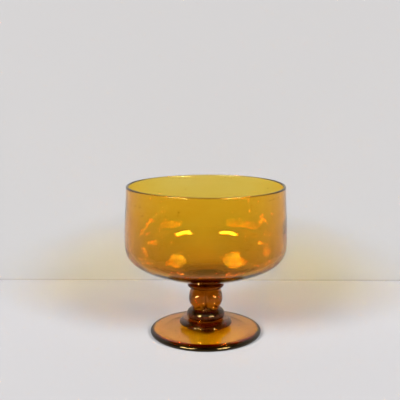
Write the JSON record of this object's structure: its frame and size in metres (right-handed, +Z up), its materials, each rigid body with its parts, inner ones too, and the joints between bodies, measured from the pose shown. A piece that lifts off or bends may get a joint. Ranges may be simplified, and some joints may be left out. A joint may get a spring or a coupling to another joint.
{
  "type": "footed art glass bowl",
  "caption": "Round footed bowl of amber seeded glass: deep straight-sided bowl on a short knopped stem with a flattened collar, meresi and a spun disc foot.",
  "frame": {"origin": "centre of the ring that the foot stands on, on the surface that the bowl stands on", "axes": "+Z up along the bowl's axis of turning, from the foot to the rim; one pinched groove of the knop faces -Y and one faces each other axis"},
  "size_m": [0.1416, 0.1416, 0.133],
  "materials": {
    "amber_glass": "fire-polished, clear amber with air seeds"
  },
  "bodies": {
    "root": {"bowl": "amber_glass", "bowl_merese": "amber_glass", "stem_knop": "amber_glass", "stem_collar": "amber_glass", "foot_merese": "amber_glass", "foot": "amber_glass"}
  },
  "joints": []
}
